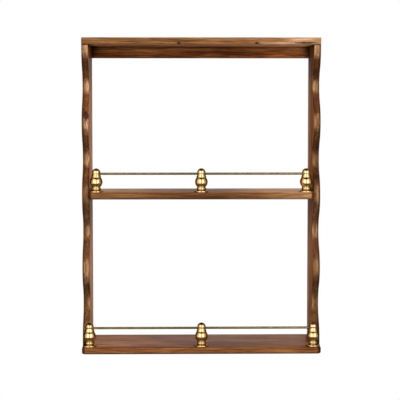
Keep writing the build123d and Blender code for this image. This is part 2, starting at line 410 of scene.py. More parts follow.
def arc_through(start, middle, end, steps=PROFILE_STEPS):
    """Points along the circle through three points, without the first one."""
    (ax, ay), (bx, by), (cx, cy) = start, middle, end
    d = 2 * (ax * (by - cy) + bx * (cy - ay) + cx * (ay - by))
    a2, b2, c2 = ax * ax + ay * ay, bx * bx + by * by, cx * cx + cy * cy
    ux = (a2 * (by - cy) + b2 * (cy - ay) + c2 * (ay - by)) / d
    uy = (a2 * (cx - bx) + b2 * (ax - cx) + c2 * (bx - ax)) / d
    radius = math.hypot(ax - ux, ay - uy)
    first = math.atan2(ay - uy, ax - ux)
    via = (math.atan2(by - uy, bx - ux) - first) % math.tau
    last = (math.atan2(cy - uy, cx - ux) - first) % math.tau
    sweep = last if via < last else last - math.tau
    angles = [first + sweep * step / steps for step in range(1, steps + 1)]
    return [(ux + radius * math.cos(angle), uy + radius * math.sin(angle)) for angle in angles]


print("half a circle ends at", arc_through((1, 0), (0, 1), (-1, 0))[-1])

# %% [markdown]
# ## Half the outline
# The arcs are put end to end from the foot to the tip. Creases stay sharp where a lathe tool leaves them:
# round the bead, at the collar's lip and under the ball.

# %% Half the outline of a post


def post_outline():
    """Half the outline of a post, as (radius, height), from its foot to its tip."""
    corner = RIM_ROUND * (1 - math.sqrt(0.5))
    rim_foot = (FLANGE_RADIUS, RIM_ROUND)
    rim_top = (FLANGE_RADIUS, FLANGE_RIM - RIM_ROUND)
    flare_start = (FLANGE_RADIUS - RIM_ROUND, FLANGE_RIM)
    bead_foot = (GROOVE_RADIUS, BEAD_START)
    bead_top = (GROOVE_RADIUS, NECK_START)
    belly_foot = (WAIST_RADIUS, BELLY_START)
    belly_top = (WAIST_RADIUS, COLLAR_START)
    lip = (COLLAR_RADIUS, COLLAR_RIM)
    crease = (CREASE_RADIUS - CREASE_DEPTH, CREASE_HEIGHT)
    ball_start = (CREASE_RADIUS, CREASE_HEIGHT + BALL_LIFT)
    ball_centre = CREASE_HEIGHT + math.sqrt(BALL_RADIUS**2 - CREASE_RADIUS**2)
    ball_tip = (0, ball_centre + BALL_RADIUS)
    outline = [(0, 0), (FLANGE_RADIUS - RIM_ROUND, 0)]
    outline += arc_through(outline[-1], (FLANGE_RADIUS - corner, corner), rim_foot, RIM_STEPS)
    outline += [rim_top]
    outline += arc_through(rim_top, (FLANGE_RADIUS - corner, FLANGE_RIM - corner), flare_start, RIM_STEPS)
    outline += arc_through(flare_start, (FLARE_RADIUS, FLARE_HEIGHT), bead_foot)
    outline += arc_through(bead_foot, (BEAD_RADIUS, (BEAD_START + NECK_START) / 2), bead_top)
    outline += arc_through(bead_top, (NECK_RADIUS, (NECK_START + BELLY_START) / 2), belly_foot, NECK_STEPS)
    belly_middle = (BELLY_START + COLLAR_START) / 2
    outline += arc_through(belly_foot, (BELLY_RADIUS, belly_middle), belly_top, BELLY_STEPS)
    outline += arc_through(belly_top, (LIP_RADIUS, LIP_HEIGHT), lip, RIM_STEPS)
    outline += arc_through(lip, (CUP_RADIUS, (COLLAR_RIM + CREASE_HEIGHT) / 2), crease, CUP_STEPS)
    outline += [ball_start]
    outline += arc_through(ball_start, (BALL_RADIUS, ball_centre), ball_tip, BALL_STEPS)
    return outline


print("post outline", len(post_outline()), "points")

# %% [markdown]
# ## Turned brass posts
# A lathe in Blender is the Spin operator: one vertex is extruded along half the outline, and the outline is
# spun once round the post's axis. The hole for the rod is then drilled with a Boolean, so the ball is truly
# pierced. The bores of the end posts are blind, which keeps the rod in.

# %% Spin each post and drill it
SPIN_STEPS = 72
BORE_SIDES = 48
BORE_REACH = 9 * MM
ROD_FIT = 0.05 * MM
ROD_END_PLAY = 0.5 * MM
LYING = (0, math.pi / 2, 0)


def rod_drill(tier, spot, axis_x, axis_y):
    """The drill for one post's bore, which is blind in an end post."""
    rod_low, rod_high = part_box(f"{tier}_gallery_rod")
    bore_from = rod_low[0] - ROD_END_PLAY if spot == "left" else axis_x - BORE_REACH
    bore_to = rod_high[0] + ROD_END_PLAY if spot == "right" else axis_x + BORE_REACH
    bpy.ops.mesh.primitive_cylinder_add(
        vertices=BORE_SIDES,
        radius=(rod_high[2] - rod_low[2]) / 2 + ROD_FIT,
        depth=bore_to - bore_from,
        location=((bore_from + bore_to) / 2, axis_y, (rod_low[2] + rod_high[2]) / 2),
        rotation=LYING,
    )
    return bpy.context.object


def turned_post(tier, spot):
    """One post in the place of its node, drilled for the rod."""
    low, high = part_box(f"{tier}_{spot}_post")
    axis_x, axis_y, foot = (low[0] + high[0]) / 2, (low[1] + high[1]) / 2, low[2]
    outline = [(axis_x + radius * MM, axis_y, foot + height * MM) for radius, height in post_outline()]
    piece = draw_chain(f"{tier}_{spot}_post_turned", outline)
    bpy.ops.mesh.spin(steps=SPIN_STEPS, angle=math.tau, center=outline[0], axis=(0, 0, 1))
    tidy_mesh(piece)
    carve(piece, rod_drill(tier, spot, axis_x, axis_y))
    tidy_mesh(piece)
    return piece


posts = {}
for tier in TIER_BOARDS:
    for spot in POST_SPOTS:
        posts[f"{tier}_{spot}_post"] = turned_post(tier, spot)
print("posts:", {name: len(piece.data.polygons) for name, piece in posts.items()})

# %% [markdown]
# ## Gallery rods
# The rods are plain drawn brass, trapped between the end posts and free to turn in their holes. A fine
# cylinder gives the rod, and a bevel round its ends gives the chamfer that lets it find its hole.

# %% Model the rods
ROD_SIDES = 40
ROD_CHAMFER = 0.3 * MM
CHAMFER_SEGMENTS = 2


def gallery_rod(tier):
    """One rod in the place of its node, with chamfered ends."""
    low, high = corners(f"{tier}_gallery_rod")
    start_clean()
    bpy.ops.mesh.primitive_cylinder_add(
        vertices=ROD_SIDES,
        radius=(high.z - low.z) / 2,
        depth=high.x - low.x,
        location=(low + high) / 2,
        rotation=LYING,
    )
    piece = bpy.context.object
    piece.name = f"{tier}_gallery_rod_drawn"
    settle(piece)
    bpy.ops.object.mode_set(mode="EDIT")
    for end in (low.x, high.x):
        pick_edges(piece, lambda a, b, end=end: near(a.x, end) and near(b.x, end))
        bpy.ops.mesh.bevel(offset=ROD_CHAMFER, segments=CHAMFER_SEGMENTS, affect="EDGES")
    tidy_mesh(piece)
    return piece


rods = {tier: gallery_rod(tier) for tier in TIER_BOARDS}
print("rods:", [piece.name for piece in rods.values()])

# %% [markdown]
# ## A short way to wire nodes
# Every finish here is procedural and reads Object coordinates, so it stays put on the piece from any side.
# One helper adds a node, sets it and links what it is given. The others are short names for common sums,
# which keeps the recipes readable.

# %% Helpers for nodes and sums


def put(tree, kind, inputs=None, **settings):
    """Add a shader node, with its settings, and set or link its inputs."""
    node = tree.nodes.new(f"ShaderNode{kind}")
    for key, value in settings.items():
        setattr(node, key, value)
    for socket, value in (inputs or {}).items():
        if isinstance(value, bpy.types.NodeSocket):
            tree.links.new(value, node.inputs[socket])
        else:
            node.inputs[socket].default_value = value
    return node


def new_material(name):
    """A new material, its nodes, its shader and its Object coordinates."""
    material = bpy.data.materials.new(name)
    material.use_nodes = True
    tree = material.node_tree
    return material, tree, tree.nodes["Principled BSDF"], put(tree, "TexCoord").outputs["Object"]


def maths(tree, operation, *values):
    """A sum on numbers."""
    return put(tree, "Math", dict(enumerate(values)), operation=operation).outputs[0]


def vector_maths(tree, operation, *values):
    """A sum on vectors. A dot product and a length come out as numbers."""
    answer = "Value" if operation in ("DOT_PRODUCT", "LENGTH") else "Vector"
    return put(tree, "VectorMath", dict(enumerate(values)), operation=operation).outputs[answer]


def part_of(tree, vector, axis):
    """One part of a vector: 0 along x, 1 along y, 2 along z."""
    return put(tree, "SeparateXYZ", {0: vector}).outputs[axis]


print("node helpers ready")

# %% [markdown]
# ## Ranges, blends and noise
# A recipe is mostly three moves: take a measure, move it into a useful range, and blend two colours by it.
# One more helper asks how open a spot is to what is above it, and so where shade is painted.

# %% Helpers for ranges, blends and noise
HALFWAY = 0.5


def remap(tree, value, low, high, to_low, to_high):
    """A value moved smoothly from one range to another, and held inside it."""
    inputs = {0: value, 1: low, 2: high, 3: to_low, 4: to_high}
    return put(tree, "MapRange", inputs, interpolation_type="SMOOTHSTEP").outputs[0]


def evenly(tree, value, low, high, to_low=0.0, to_high=1.0):
    """A value moved in a straight line from one range to another, and held inside it."""
    return put(tree, "MapRange", {0: value, 1: low, 2: high, 3: to_low, 4: to_high}).outputs[0]


def blend_number(tree, factor, first, second):
    """A number between two others."""
    return put(tree, "Mix", {0: factor, 2: first, 3: second}, data_type="FLOAT").outputs[0]


def blend_colour(tree, factor, first, second, blend_type="MIX"):
    """A colour between two others."""
    mix = put(tree, "Mix", {0: factor, 6: first, 7: second}, data_type="RGBA", blend_type=blend_type)
    return mix.outputs[2]


def colour_ramp(tree, value, stops, easing="LINEAR"):
    """A colour that runs through three stops, each with a position and a colour."""
    ramp = put(tree, "ValToRGB", {0: value})
    ramp.color_ramp.interpolation = easing
    ramp.color_ramp.elements.new(HALFWAY)
    for element, (position, colour) in zip(ramp.color_ramp.elements, stops):
        element.position = position
        element.color = colour
    return ramp.outputs[0]


def tint(tree, colour, by, factor=1.0):
    """A colour multiplied by another one, fully or by a share."""
    return blend_colour(tree, factor, colour, by, "MULTIPLY")


def noise(tree, vector, scales, detail, output=0):
    """Smooth noise, with its own scale along and across the grain."""
    spread = vector_maths(tree, "MULTIPLY", vector, scales)
    return put(tree, "TexNoise", {"Vector": spread, "Scale": 1, "Detail": detail}).outputs[output]


def sheltered(tree, normal, lift, reach, samples):
    """How open a spot is to what is above it: near 1 in the open, and less in a nook."""
    leaned = vector_maths(tree, "NORMALIZE", vector_maths(tree, "ADD", normal, (0, 0, lift)))
    return put(tree, "AmbientOcclusion", {"Distance": reach, "Normal": leaned}, samples=samples).outputs["AO"]


def grey(level):
    """An opaque grey as a colour."""
    return (level, level, level, 1)


print("a middle grey as a colour:", grey(0.5))

# %% [markdown]
# ## Grain
# Sawn boards show growth rings, streaks and fibres. The rings come from a Wave texture round a pith that
# lies outside the board, as in real stock. Noise stretched along the grain gives the streaks and the fibres.
# A slow noise bends all of them together, so that no line runs dead straight. Each of the three browns of
# the grain has its place between dark and light.

# %% Grain recipe
ALONG_X = (0, 0, 0)
ALONG_Z = (0, math.pi / 2, 0)
WANDER_SCALE = (6, 24, 24)
WANDER_REACH = (0, 6 * MM, 6 * MM)
STREAK_SCALE = (5, 130, 130)
FIBRE_SCALE = (26, 720, 720)
RING_SCALE = 48
RING_SHARE = 0.18
FIBRE_SHARE = 0.62
WOOD_DARK = (0.385, (0.135, 0.045, 0.009, 1))
WOOD_MID = (HALFWAY, (0.285, 0.110, 0.028, 1))
WOOD_LIGHT = (0.635, (0.460, 0.215, 0.080, 1))


def wood_figure(tree, turned):
    """Bent grain coordinates, the fibres, and the light and dark of the grain from 0 to 1."""
    wander = noise(tree, turned, WANDER_SCALE, 2, "Color")
    sway = vector_maths(tree, "SUBTRACT", wander, (0.5, 0.5, 0.5))
    bent = vector_maths(tree, "ADD", turned, vector_maths(tree, "MULTIPLY", sway, WANDER_REACH))
    wave = put(tree, "TexWave", {"Vector": bent, "Scale": RING_SCALE}, wave_type="RINGS")
    wave.rings_direction = "X"
    streak = noise(tree, bent, STREAK_SCALE, 2)
    fibre = noise(tree, bent, FIBRE_SCALE, 4)
    broad = blend_number(tree, RING_SHARE, streak, wave.outputs[1])
    return bent, fibre, blend_number(tree, FIBRE_SHARE, broad, fibre)


print("grain shares: rings", RING_SHARE, "fibres", FIBRE_SHARE)

# %% [markdown]
# ## Stain
# An old stain is never even. It is blotched and it took differently along each board. The wide faces are
# made lighter or darker than the edges as painted light and shade. Where it is paler than usual it is also
# greyer, and where it is darker it is redder, so the three channels are bent apart. A range below reads:
# from, to, and what it gives at either end.

# %% Stain recipe
BLOTCH_SCALE = (8, 46, 46)
BLOTCH_SHADE = (0.32, 0.68, 0.68, 1.32)
WIDE_FACE = (0.6, 0.9, 0.0, 1.0)
PALEST = 3.0
GREEN_BEND = 0.34
BLUE_BEND = 0.95


def tone_along(tree, lengthwise, span, tones):
    """How pale the stain took at the start, the middle and the end of a board."""
    stops = [(share, grey(tone / PALEST)) for share, tone in zip((0, HALFWAY, 1), tones)]
    tone = colour_ramp(tree, evenly(tree, lengthwise, *span), stops, "EASE")
    return maths(tree, "MULTIPLY", tone, PALEST)


def stain_shade(tree, turned, lengthwise, face, span, tones, broad):
    """How pale the stain is: its blotches and its run along the board, with painted light and shade on the
    wide faces.
    """
    shade = remap(tree, noise(tree, turned, BLOTCH_SCALE, 2), *BLOTCH_SHADE)
    shade = maths(tree, "MULTIPLY", shade, tone_along(tree, lengthwise, span, tones))
    # Painted light and shade: the wide faces are made lighter or darker, set at either end of the board.
    wide = blend_number(tree, face, 1.0, evenly(tree, lengthwise, *span, *broad))
    return maths(tree, "MULTIPLY", shade, wide)


def stain_tint(tree, shade, usual):
    """A stain that is paler than usual is also greyer, and a darker one is redder."""
    paler = maths(tree, "DIVIDE", shade, usual)
    green = maths(tree, "MULTIPLY", shade, maths(tree, "POWER", paler, GREEN_BEND))
    blue = maths(tree, "MULTIPLY", shade, maths(tree, "POWER", paler, BLUE_BEND))
    return put(tree, "CombineColor", {0: shade, 1: green, 2: blue}).outputs[0]


print("the stain bends green by", GREEN_BEND, "and blue by", BLUE_BEND)

# %% [markdown]
# ## Where the stain soaks in
# A surface that is cut across the fibres drinks more stain. That is what stripes the wavy edges: the fibres
# of a side run straight up, so the slopes between crest and waist are cut across them. The soak is stronger
# at the top of a side than at its foot, and stronger where the cut faces up. Undersides are tinted redder and
# lighter in red. Knots are dark spots with a ragged rim, and a long thin one reads as a split.

# %% Soak, underside and knot recipes
END_GRAIN_STAIN = (0.24, 0.130, 0.040, 1)
UNDERSIDE_TINT = (1.42, 1.12, 0.78, 1)
WOOD_KNOT = (0.040, 0.009, 0.003, 1)
UPRIGHT_FIBRE = (0, 0.03, 1)
UPRIGHT_SOAK = (0.62, 1.2)
SOAK_FACING = (0.09, 0.40)
SOAK_SETTLED = (-0.25, 0.25, 0.84, 1.04)
UNDERNEATH = (-0.98, -0.90, 1.0, 0.0)
RAGGED_SCALE = (330, 330, 330)
RAGGED = (0.3, 0.7, 0.65, 1.35)
KNOT_CORE = 0.35
KNOT_STRENGTH = 0.95


def soak(tree, colour, normal, lengthwise, grain, span):
    """Darken what is cut across the fibres, and redden what faces down."""
    fibres = (1, 0, 0) if grain == ALONG_X else UPRIGHT_FIBRE
    cut_across = maths(tree, "ABSOLUTE", vector_maths(tree, "DOT_PRODUCT", normal, fibres))
    most = 1.0 if grain == ALONG_X else evenly(tree, lengthwise, *span, *UPRIGHT_SOAK)
    soaked = remap(tree, cut_across, *SOAK_FACING, 0.0, most)
    upward = part_of(tree, normal, 2)
    soaked = maths(tree, "MULTIPLY", soaked, remap(tree, upward, *SOAK_SETTLED))
    colour = tint(tree, colour, END_GRAIN_STAIN, soaked)
    # Faces that look down are tinted redder and lighter in red.
    return tint(tree, colour, UNDERSIDE_TINT, remap(tree, upward, *UNDERNEATH))


def add_knots(tree, colour, place, grain, knots):
    """Dark knots, each with a centre, a radius and how far it is drawn out along the grain."""
    ragged = remap(tree, noise(tree, place, RAGGED_SCALE, 2), *RAGGED)
    for centre, radius, stretch in knots:
        shrink = (1 / stretch, 1, 1) if grain == ALONG_X else (1, 1, 1 / stretch)
        offset = vector_maths(tree, "MULTIPLY", vector_maths(tree, "SUBTRACT", place, centre), shrink)
        distance = maths(tree, "MULTIPLY", vector_maths(tree, "LENGTH", offset), ragged)
        inside = remap(tree, distance, KNOT_CORE * radius, radius, KNOT_STRENGTH, 0.0)
        colour = blend_colour(tree, inside, colour, WOOD_KNOT)
    return colour


print("soak at the foot and the top of a side:", *UPRIGHT_SOAK)

# %% [markdown]
# ## Dark edges, joints and painted shade
# Stain collects dark in the end joints of an upright board. The arrises are darkened, partly by stain and
# partly as painted shade, and shade is painted under the lower edge of a lying board and in every nook. A
# Bevel node finds the arrises, and an Ambient Occlusion node finds the nooks. The uprights get painted shade
# along their outer arris and close under the board above them, and their wide faces are redder.

# %% Edge and nook recipes
WOOD_EDGE = (0.045, 0.015, 0.005, 1)
INNER_FACE_STAIN = (1.05, 0.82, 0.56, 1)
ARRIS_REACH = 1.8 * MM
ARRIS_DARKENING = (0.93, 0.998, 0.70, 0.0)
ARRIS_FIBRE = (0.40, 0.62, 1.0, 0.5)
LOWER_ARRIS = (-0.42, -0.10)
NOT_UNDERNEATH = (-0.97, -0.85, 0.0, 1.0)
END_JOINT = (0.3 * MM, 1.5 * MM, 0.8, 0.0)
NOOK_REACH = 14 * MM
NOOK_SHADE = (0.36, 0.86, 0.04, 1.0)
OUTER_ARRIS = (top_high.x - 3.2 * MM, top_high.x - 0.9 * MM, 0.0, 0.90)
SHELF_LIFT = 0.9
SHELF_REACH = 70 * MM
SHADOW_UNDER_SHELF = (0.36, 0.80, 0.55, 1.0)


def hidden_edge(tree, place, softened, grain, span, strength):
    """How near a spot is to a lying board's lower arris, where shade is painted, or to an upright board's end
    joints.
    """
    if grain == ALONG_X:
        # Painted shade along the lower arris of a lying board, none on its underside.
        upward = part_of(tree, softened, 2)
        below = remap(tree, upward, *LOWER_ARRIS, strength, 0.0)
        return maths(tree, "MULTIPLY", below, remap(tree, upward, *NOT_UNDERNEATH))
    height = part_of(tree, place, 2)
    from_foot = maths(tree, "SUBTRACT", height, span[0])
    from_top = maths(tree, "SUBTRACT", span[1], height)
    return remap(tree, maths(tree, "MINIMUM", from_foot, from_top), *END_JOINT)


def stain_and_shade_edges(tree, colour, place, normal, fibre, grain, span, lower_edge):
    """Darken the arrises, partly as stain and partly as painted shade, paint shade under the lower edges and
    in the nooks, and darken an upright's end joints.
    """
    softened = put(tree, "Bevel", {"Radius": ARRIS_REACH}, samples=6).outputs[0]
    # Dark arrises: partly stain, partly painted shade.
    edge = remap(tree, vector_maths(tree, "DOT_PRODUCT", normal, softened), *ARRIS_DARKENING)
    edge = maths(tree, "MULTIPLY", edge, remap(tree, fibre, *ARRIS_FIBRE))
    colour = blend_colour(tree, edge, colour, WOOD_EDGE)
    # Painted shade along a lying board's lower arris; dark end joints on an upright.
    hidden = hidden_edge(tree, place, softened, grain, span, lower_edge)
    colour = blend_colour(tree, hidden, colour, WOOD_EDGE)
    # Painted shade in the nooks, found by Ambient Occlusion.
    nook = put(tree, "AmbientOcclusion", {"Distance": NOOK_REACH}, samples=10).outputs["AO"]
    return tint(tree, colour, remap(tree, nook, *NOOK_SHADE))


def shade_and_stain_upright(tree, colour, place, normal, face):
    """Paint shade on the outer arris of an upright and close under the board above, and redden its wide
    faces.
    """
    # Painted shade along the outer arris.
    outer = remap(tree, maths(tree, "ABSOLUTE", part_of(tree, place, 0)), *OUTER_ARRIS)
    colour = blend_colour(tree, blend_number(tree, face, outer, 0.0), colour, WOOD_EDGE)
    # Painted shadow on the wide faces close under the board above.
    above = sheltered(tree, normal, SHELF_LIFT, SHELF_REACH, 12)
    colour = tint(tree, colour, remap(tree, above, *SHADOW_UNDER_SHELF), face)
    return tint(tree, colour, INNER_FACE_STAIN, face)


print("nooks reach", round(NOOK_REACH / MM), "mm, the shelf above", round(SHELF_REACH / MM), "mm")

# %% [markdown]
# ## Stained wood
# A board's finish puts the recipes together in the order a finisher works: the bare grain, the stain, the
# soak of the end grain, the open pores, the knots, and last the dark edges. Painted light and shade go in
# with them: on the wide faces, along the arrises, under the lower edges, in the nooks and under the board
# above. Pores and fibres stay as a little relief under a thin satin varnish, so the shine breaks up along the
# grain.

# %% Wood recipe
WOOD_PORE = (0.060, 0.020, 0.006, 1)
PORE_SCALE = (34, 1300, 1300)
OPEN_PORE = (0.56, 0.70, 0.0, 0.75)
SATIN = (0.3, 0.7, 0.56, 0.42)
RELIEF_STRENGTH = 0.35
RELIEF_DEPTH = 0.15 * MM
COAT_SHARE = 1 / 3
COAT_ROUGHNESS = 0.25


def stained_wood(name, grain, pith, tones, usual, broad, knots=(), gloss=0.14, lower_edge=0.93):
    """A board's finish, from its grain, its pith, its tones along its length and its knots."""
    span = (top_low.x, top_high.x) if grain == ALONG_X else (side_low.z, side_high.z)
    material, tree, shader, place = new_material(name)
    normal = put(tree, "NewGeometry").outputs["Normal"]
    turned = put(tree, "Mapping", {"Vector": place, "Rotation": grain, "Location": pith}).outputs[0]
    lengthwise = part_of(tree, place, 0 if grain == ALONG_X else 2)
    face = maths(tree, "ABSOLUTE", part_of(tree, normal, 2 if grain == ALONG_X else 0))
    face = remap(tree, face, *WIDE_FACE)
    bent, fibre, figure = wood_figure(tree, turned)
    shade = stain_shade(tree, turned, lengthwise, face, span, tones, broad)
    bare = colour_ramp(tree, figure, (WOOD_DARK, WOOD_MID, WOOD_LIGHT))
    colour = tint(tree, bare, stain_tint(tree, shade, usual))
    colour = soak(tree, colour, normal, lengthwise, grain, span)
    pores = remap(tree, noise(tree, bent, PORE_SCALE, 2), *OPEN_PORE)
    colour = blend_colour(tree, pores, colour, WOOD_PORE)
    colour = add_knots(tree, colour, place, grain, knots)
    colour = stain_and_shade_edges(tree, colour, place, normal, fibre, grain, span, lower_edge)
    if grain == ALONG_Z:
        colour = shade_and_stain_upright(tree, colour, place, normal, face)
    tree.links.new(colour, shader.inputs["Base Color"])
    tree.links.new(remap(tree, fibre, *SATIN), shader.inputs["Roughness"])
    relief = maths(tree, "SUBTRACT", fibre, pores)
    bump = put(tree, "Bump", {"Height": relief, "Strength": RELIEF_STRENGTH, "Distance": RELIEF_DEPTH})
    tree.links.new(bump.outputs[0], shader.inputs["Normal"])
    shader.inputs["Specular IOR Level"].default_value = gloss
    shader.inputs["Coat Weight"].default_value = gloss * COAT_SHARE
    shader.inputs["Coat Roughness"].default_value = COAT_ROUGHNESS
    return material


print("a board's roughness runs from", SATIN[3], "to", SATIN[2])

# %% [markdown]
# ## The finish of each board
# The boards come from different planks, so each has its own pith, its own run of tones from one end to the
# other, and its own knots where the photograph shows them. `usual` is the tone at which a board has its plain
# colour, and `broad` lightens or darkens its wide faces at either end, as painted light and shade.

# %% Finish each board
LOW_GLOSS = 0.09
RAIL_GLOSS = 0.06
top_knots = (
    ((-31 * MM, top_low.y, top_low.z + 1.6 * MM), 3.3 * MM, 1.3),
    ((77 * MM, top_low.y, top_low.z + 1.0 * MM), 3.3 * MM, 1.3),
    ((146 * MM, top_low.y, top_low.z + 2.3 * MM), 1.4 * MM, 17),
)
left_knots = (((-side_middle + 1 * MM, side_low.y + 2 * MM, -88 * MM), 9 * MM, 1.0),)
right_knots = (((side_middle, side_low.y + 10 * MM, -174 * MM), 8 * MM, 1.0),)
wood = {
    "top_board": stained_wood(
        "top_board_wood", ALONG_X, pith=(0.3, 0.045, 0.0545), tones=(1.04, 0.95, 1.86), usual=0.80,
        broad=(1.2, 1.05), knots=top_knots, gloss=LOW_GLOSS, lower_edge=0.35,
    ),
    "back_rail": stained_wood(
        "back_rail_wood", ALONG_X, pith=(1.1, 0.06, 0.03), tones=(1.90, 1.75, 2.85), usual=2.4,
        broad=(0.48, 0.45), gloss=RAIL_GLOSS, lower_edge=0.40,
    ),
    "middle_shelf": stained_wood(
        "middle_shelf_wood", ALONG_X, pith=(2.2, 0.03, 0.24), tones=(0.94, 0.42, 1.70), usual=0.92,
        broad=(1.30, 0.90),
    ),
    "bottom_board": stained_wood(
        "bottom_board_wood", ALONG_X, pith=(3.4, 0.05, 0.45), tones=(1.66, 0.86, 1.08), usual=1.55,
        broad=(0.55, 0.68),
    ),
    "left_side_panel": stained_wood(
        "left_side_wood", ALONG_Z, pith=(4.1, 0.07, -0.13), tones=(1.78, 2.12, 2.10), usual=0.90,
        broad=(0.93, 0.81), knots=left_knots, gloss=LOW_GLOSS,
    ),
    "right_side_panel": stained_wood(
        "right_side_wood", ALONG_Z, pith=(5.3, 0.06, 0.20), tones=(1.02, 1.42, 1.70), usual=0.80,
        broad=(1.40, 0.66), knots=right_knots, gloss=LOW_GLOSS,
    ),
}
print("wood finishes:", list(wood))

# %% [markdown]
# ## Handled metal
# Metal that is handled stays bright where fingers rub it. Its grooves are browned, partly by dried polish and
# partly as painted shade, and what faces up is painted darker as a painted dark reflection. An Ambient
# Occlusion node with its normal leaned up finds the grooves, and a soft noise varies tint and shine.

# %% Metal recipe
CLOUD_SCALE = 160
CLOUD_TINT = (0.35, 0.65, 0.0, 1.0)
CLOUD_SHINE = (0.3, 0.7)
GROOVE_LIFT = 0.7
GROOVE_REACH = 6 * MM
GROOVE_SHADE = (0.40, 0.80, 1.0, 0.0)
FACING_UP = (0.72, 0.97)
SCUFF_SCALE = 900
SCUFF_STRENGTH = 0.06
SCUFF_DEPTH = 0.05 * MM


def metal(name, bright, dull, grooves, roughness, top_darkening=0.0):
    """A metal that shifts between two tints, with painted shade in its grooves and a painted dark reflection
    where it faces up.
    """
    material, tree, shader, place = new_material(name)
    cloud = put(tree, "TexNoise", {"Vector": place, "Scale": CLOUD_SCALE, "Detail": 3}).outputs[0]
    colour = blend_colour(tree, remap(tree, cloud, *CLOUD_TINT), bright, dull)
    normal = put(tree, "NewGeometry").outputs["Normal"]
    # Browned grooves: partly dried polish, partly painted shade.
    nook = sheltered(tree, normal, GROOVE_LIFT, GROOVE_REACH, 8)
    colour = blend_colour(tree, remap(tree, nook, *GROOVE_SHADE), colour, grooves)
    # Painted dark reflection on what faces up.
    painted_dark_top = remap(tree, part_of(tree, normal, 2), *FACING_UP, 0.0, top_darkening)
    colour = blend_colour(tree, painted_dark_top, colour, grooves)
    tree.links.new(colour, shader.inputs["Base Color"])
    tree.links.new(remap(tree, cloud, *CLOUD_SHINE, *roughness), shader.inputs["Roughness"])
    scuff = put(tree, "TexNoise", {"Vector": place, "Scale": SCUFF_SCALE, "Detail": 2}).outputs[0]
    bump = put(tree, "Bump", {"Height": scuff, "Strength": SCUFF_STRENGTH, "Distance": SCUFF_DEPTH})
    tree.links.new(bump.outputs[0], shader.inputs["Normal"])
    shader.inputs["Metallic"].default_value = 1.0
    return material


print("grooves reach", round(GROOVE_REACH / MM), "mm")

# %% [markdown]
# ## Brass and steel
# The posts are polished brass, with a tint at grazing angles that keeps their rims golden. The rods are
# drawn brass, duller and much darker than the posts: partly a duller metal and partly painted shade. The pins
# are dark steel, and the screws and hanger plates are plain zinc-grey steel.

# %% Mix the metals
brass = metal(
    "polished_brass", bright=(0.88, 0.70, 0.42, 1), dull=(0.77, 0.57, 0.29, 1),
    grooves=(0.13, 0.065, 0.015, 1), roughness=(0.13, 0.22), top_darkening=0.40,
)
brass.node_tree.nodes["Principled BSDF"].inputs["Specular Tint"].default_value = (0.42, 0.27, 0.10, 1)
# Rod brass: partly a duller metal, partly painted shade that darkens it.
drawn_brass = metal(
    "drawn_brass", bright=(0.30, 0.23, 0.10, 1), dull=(0.21, 0.155, 0.06, 1),
    grooves=(0.16, 0.09, 0.03, 1), roughness=(0.26, 0.38),
)
steel = metal(
    "zinc_steel", bright=(0.58, 0.58, 0.57, 1), dull=(0.46, 0.46, 0.47, 1),
    grooves=(0.16, 0.15, 0.14, 1), roughness=(0.30, 0.45),
)
pin_steel = metal(
    "pin_steel", bright=(0.34, 0.31, 0.28, 1), dull=(0.24, 0.20, 0.17, 1),
    grooves=(0.06, 0.05, 0.04, 1), roughness=(0.40, 0.60),
)
print("metals:", brass.name, drawn_brass.name, steel.name, pin_steel.name)

# %% [markdown]
# ## Put everything on its body
# Every piece rides on the body that its node belongs to, so the rods can turn while the shelf stands still.
# A modelled piece hides the node that it stands for. The nodes that stay get the finish alone.

# %% Ride, replace and finish
for name, piece in boards.items():
    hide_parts(name)
    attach(piece, "shelf")
    piece.data.materials.append(wood[name])
for name, piece in posts.items():
    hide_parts(name)
    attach(piece, "shelf")
    piece.data.materials.append(brass)
for tier, piece in rods.items():
    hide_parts(f"{tier}_gallery_rod")
    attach(piece, f"{tier}_rod")
    piece.data.materials.append(drawn_brass)
for name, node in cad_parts.items():
    finish = pin_steel if name.endswith("_pins") else wood.get(name, steel)
    for slot in node.material_slots:
        slot.material = finish
modelled = [*boards, *posts, *(f"{tier}_gallery_rod" for tier in rods)]
print("carried over:", [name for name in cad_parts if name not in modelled])

# %% [markdown]
# ## Floor
# The shelf hangs clear of a pale floor, as on a wall. A plain disc well below it catches its soft shadow.

# %% Floor
FLOOR_DROP = 0.45
FLOOR_RADIUS = 1.35
FLOOR_SIDES = 96
floor_level = bottom_low.z - FLOOR_DROP
start_clean()
bpy.ops.mesh.primitive_circle_add(
    vertices=FLOOR_SIDES, radius=FLOOR_RADIUS, fill_type="NGON", location=(0, 0, floor_level)
)
floor = bpy.context.object
floor.name = "studio_floor"
settle(floor)
print("floor at", round(floor_level, 4), "m")

# %% [markdown]
# ## Floor paint
# The paint fades into the white of the world towards the rim, so the studio has no horizon, and keeps the
# shadow in the middle. From below it is clear to the camera, so that the undersides can be seen through it.

# %% Paint the floor
FADE_FROM = 0.55
FADE_TO = 0.95 * FLOOR_RADIUS
floor_paint, tree, shader, place = new_material("floor_paint")
mottle = put(tree, "TexNoise", {"Vector": place, "Scale": 30, "Detail": 2}).outputs[0]
tree.links.new(blend_colour(tree, mottle, grey(0.90), grey(0.94)), shader.inputs["Base Color"])
shader.inputs["Roughness"].default_value = 0.9
shader.inputs["Specular IOR Level"].default_value = 0.1
from_centre = vector_maths(tree, "LENGTH", vector_maths(tree, "MULTIPLY", place, (1, 1, 0)))
by_eye = put(tree, "LightPath").outputs["Is Camera Ray"]
faded = maths(tree, "MULTIPLY", remap(tree, from_centre, FADE_FROM, FADE_TO, 0.0, 1.0), by_eye)
glow = put(tree, "Emission", {"Color": grey(1), "Strength": 1.0}).outputs[0]
paint = put(tree, "MixShader", {0: faded, 1: shader.outputs[0], 2: glow}).outputs[0]
underneath = maths(tree, "MULTIPLY", put(tree, "NewGeometry").outputs["Backfacing"], by_eye)
